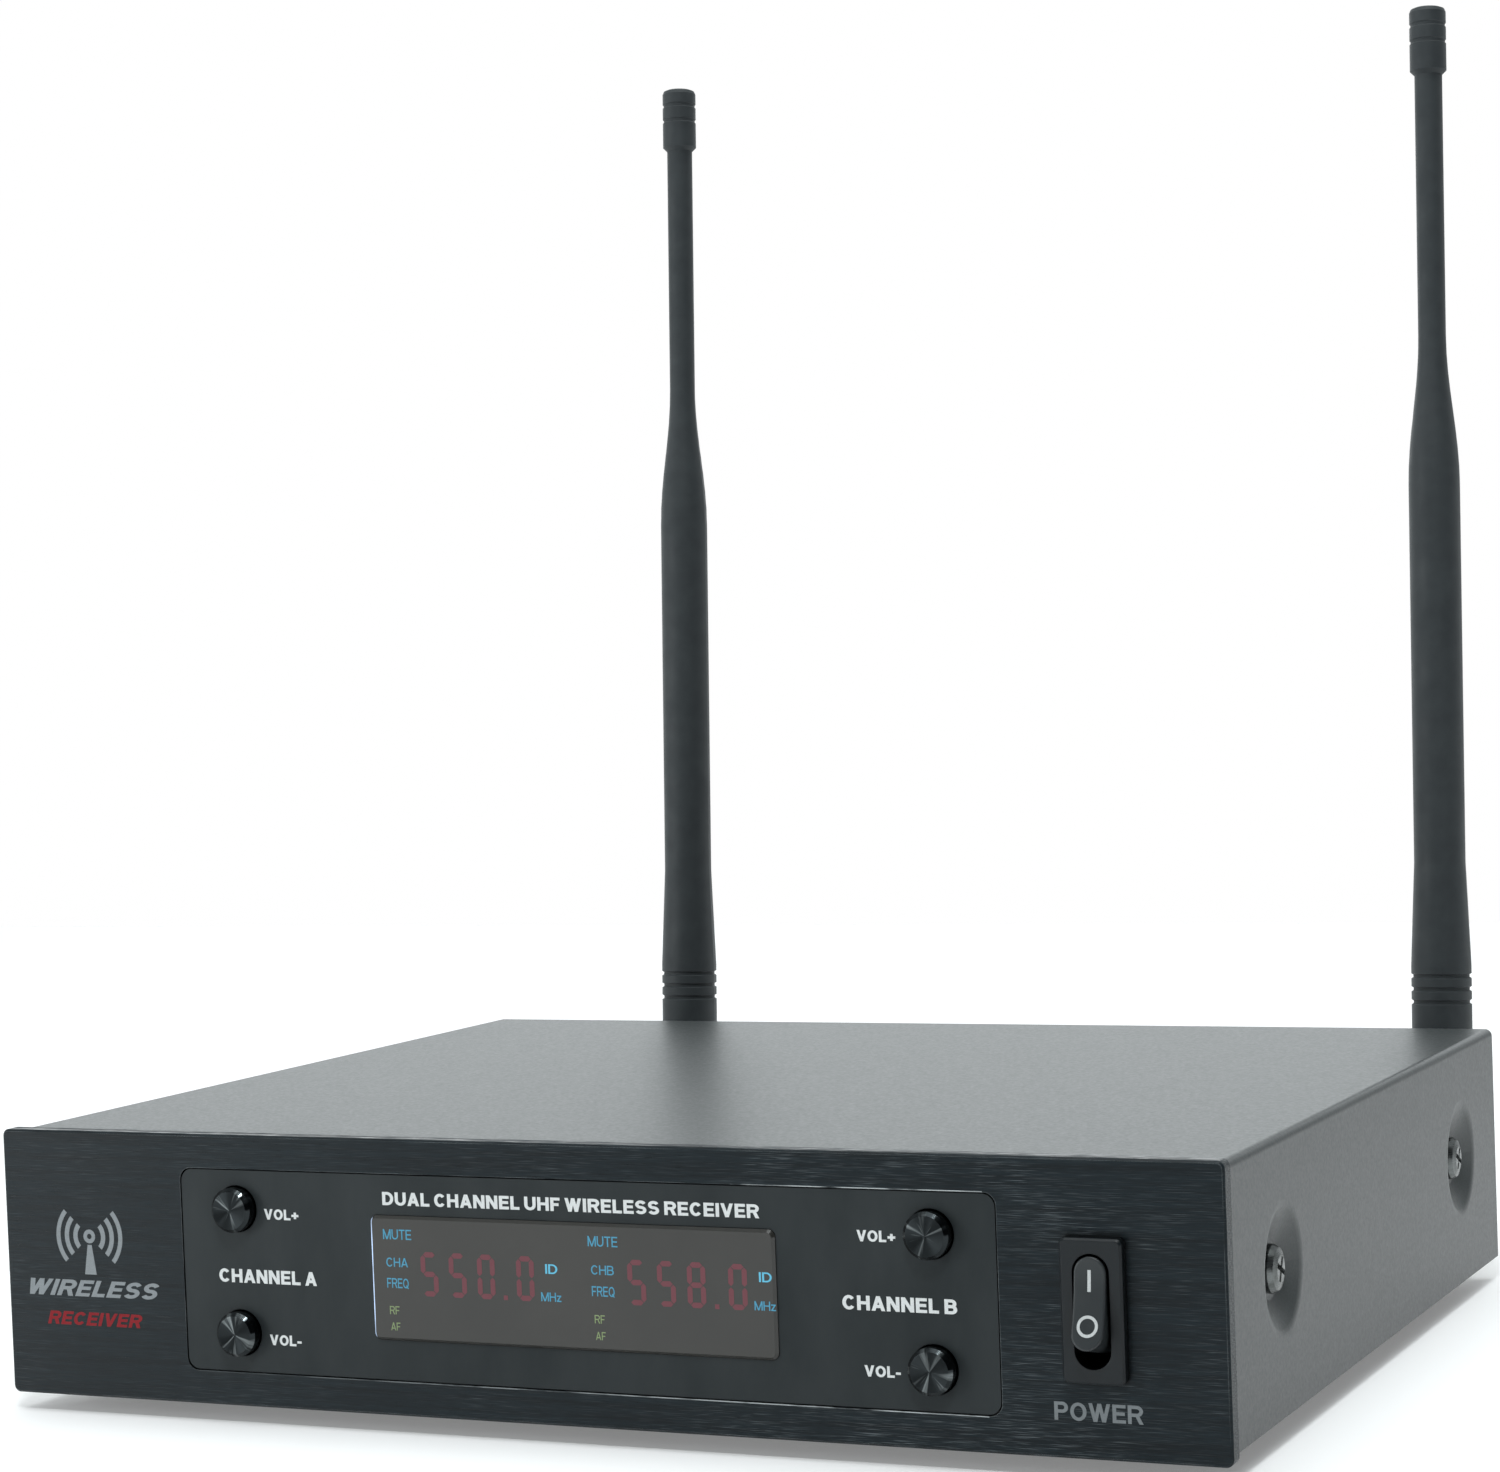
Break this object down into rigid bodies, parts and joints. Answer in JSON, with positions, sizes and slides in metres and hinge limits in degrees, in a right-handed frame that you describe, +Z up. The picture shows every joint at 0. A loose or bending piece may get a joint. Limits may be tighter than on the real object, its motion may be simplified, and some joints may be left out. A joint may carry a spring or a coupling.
{
  "type": "wireless receiver",
  "caption": "Half-rack wireless microphone receiver with front volume buttons, display window, power rocker, rear audio sockets and folding whip antennas.",
  "frame": {"origin": "on the surface the feet stand on, mid-width and mid-depth of the whole object", "axes": "+X right seen from the front, +Y towards the rear sockets, +Z up along the raised antennas"},
  "size_m": [0.2106, 0.2145, 0.2412],
  "materials": {
    "panel": "brushed, black anodised",
    "overlay": "fine satin, printed",
    "window": "smoked, polished",
    "button": "turned, black anodised",
    "switch": "fine satin",
    "cover": "satin black powder coat",
    "chassis": "satin black",
    "screw": "zinc plated",
    "black_screw": "black oxide",
    "foot": "matt",
    "nickel": "satin nickel",
    "socket_shell": "black nickel",
    "contact": "gold flashed",
    "terminal": "tinned",
    "antenna_rubber": "matt",
    "antenna_plastic": "fine satin",
    "pin": "plain",
    "pcb": "solder mask",
    "chip": "moulded",
    "capacitor": "sleeved",
    "can": "tinned",
    "sink": "black anodised",
    "display": "red tinted",
    "header": "moulded",
    "ribbon": "flat cable",
    "lead": "insulated",
    "tact": "moulded"
  },
  "bodies": {
    "case": {"front_panel": "panel", "control_overlay": "overlay", "display_window": "window", "panel_studs": "screw", "panel_nuts": "screw", "tact_switches": "tact", "display_board": "pcb", "display_module_a": "display", "display_module_b": "display", "switch_housing": "switch", "rocker_pivot": "pin", "switch_terminals": "terminal", "top_cover": "cover", "cover_screws": "screw", "bottom_chassis": "chassis", "rubber_feet": "foot", "main_board": "pcb", "board_standoffs": "screw", "board_screws": "screw", "tuner_can_a": "can", "tuner_can_b": "can", "signal_chips": "chip", "filter_capacitors": "capacitor", "heat_sink": "sink", "regulator": "chip", "board_headers": "header", "ribbon_cable": "ribbon", "power_leads": "lead", "antenna_leads": "lead", "balanced_output_a": "socket_shell", "balanced_output_b": "socket_shell", "socket_contacts": "contact", "output_screws": "black_screw", "output_jack": "socket_shell", "jack_nut": "nickel", "power_inlet": "socket_shell", "antenna_socket_a": "nickel", "antenna_socket_b": "nickel", "socket_nuts": "nickel"},
    "volume_up_a": {"volume_up_button_a": "button", "tact_plunger_up_a": "tact"},
    "volume_down_a": {"volume_down_button_a": "button", "tact_plunger_down_a": "tact"},
    "volume_up_b": {"volume_up_button_b": "button", "tact_plunger_up_b": "tact"},
    "volume_down_b": {"volume_down_button_b": "button", "tact_plunger_down_b": "tact"},
    "rocker": {"power_rocker": "switch"},
    "antenna_a_collar": {"bayonet_collar_a": "nickel"},
    "antenna_a_knuckle": {"antenna_knuckle_a": "antenna_plastic", "hinge_pin_a": "pin"},
    "antenna_a_whip": {"antenna_whip_a": "antenna_rubber", "antenna_cap_a": "antenna_rubber", "radiator_a": "contact"},
    "antenna_b_collar": {"bayonet_collar_b": "nickel"},
    "antenna_b_knuckle": {"antenna_knuckle_b": "antenna_plastic", "hinge_pin_b": "pin"},
    "antenna_b_whip": {"antenna_whip_b": "antenna_rubber", "antenna_cap_b": "antenna_rubber", "radiator_b": "contact"}
  },
  "joints": [
    {"name": "volume_up_a_press", "type": "slide", "parent": "case", "child": "volume_up_a", "axis": [0, 1, 0], "range_m": [0, 0.0004], "stiffness_N_per_m": 4000},
    {"name": "volume_down_a_press", "type": "slide", "parent": "case", "child": "volume_down_a", "axis": [0, 1, 0], "range_m": [0, 0.0004], "stiffness_N_per_m": 4000},
    {"name": "volume_up_b_press", "type": "slide", "parent": "case", "child": "volume_up_b", "axis": [0, 1, 0], "range_m": [0, 0.0004], "stiffness_N_per_m": 4000},
    {"name": "volume_down_b_press", "type": "slide", "parent": "case", "child": "volume_down_b", "axis": [0, 1, 0], "range_m": [0, 0.0004], "stiffness_N_per_m": 4000},
    {"name": "power_rocker_tip", "type": "hinge", "parent": "case", "child": "rocker", "pos_m": [0.0854, -0.0997, 0.025], "axis": [1, 0, 0], "range_deg": [0, 26]},
    {"name": "antenna_a_collar_turn", "type": "hinge", "parent": "case", "child": "antenna_a_collar", "pos_m": [-0.0708, 0.068, 0.024], "axis": [0, 1, 0], "range_deg": [0, 80]},
    {"name": "antenna_a_swivel", "type": "hinge", "parent": "case", "child": "antenna_a_knuckle", "pos_m": [-0.0708, 0.068, 0.024], "axis": [0, 1, 0], "range_deg": [-90, 45]},
    {"name": "antenna_a_fold", "type": "hinge", "parent": "antenna_a_knuckle", "child": "antenna_a_whip", "pos_m": [-0.0708, 0.09, 0.024], "axis": [-1, 0, 0], "range_deg": [-3.5, 86.5]},
    {"name": "antenna_b_collar_turn", "type": "hinge", "parent": "case", "child": "antenna_b_collar", "pos_m": [0.09, 0.068, 0.024], "axis": [0, 1, 0], "range_deg": [0, 80]},
    {"name": "antenna_b_swivel", "type": "hinge", "parent": "case", "child": "antenna_b_knuckle", "pos_m": [0.09, 0.068, 0.024], "axis": [0, 1, 0], "range_deg": [-45, 90]},
    {"name": "antenna_b_fold", "type": "hinge", "parent": "antenna_b_knuckle", "child": "antenna_b_whip", "pos_m": [0.09, 0.09, 0.024], "axis": [-1, 0, 0], "range_deg": [-3.5, 86.5]}
  ]
}
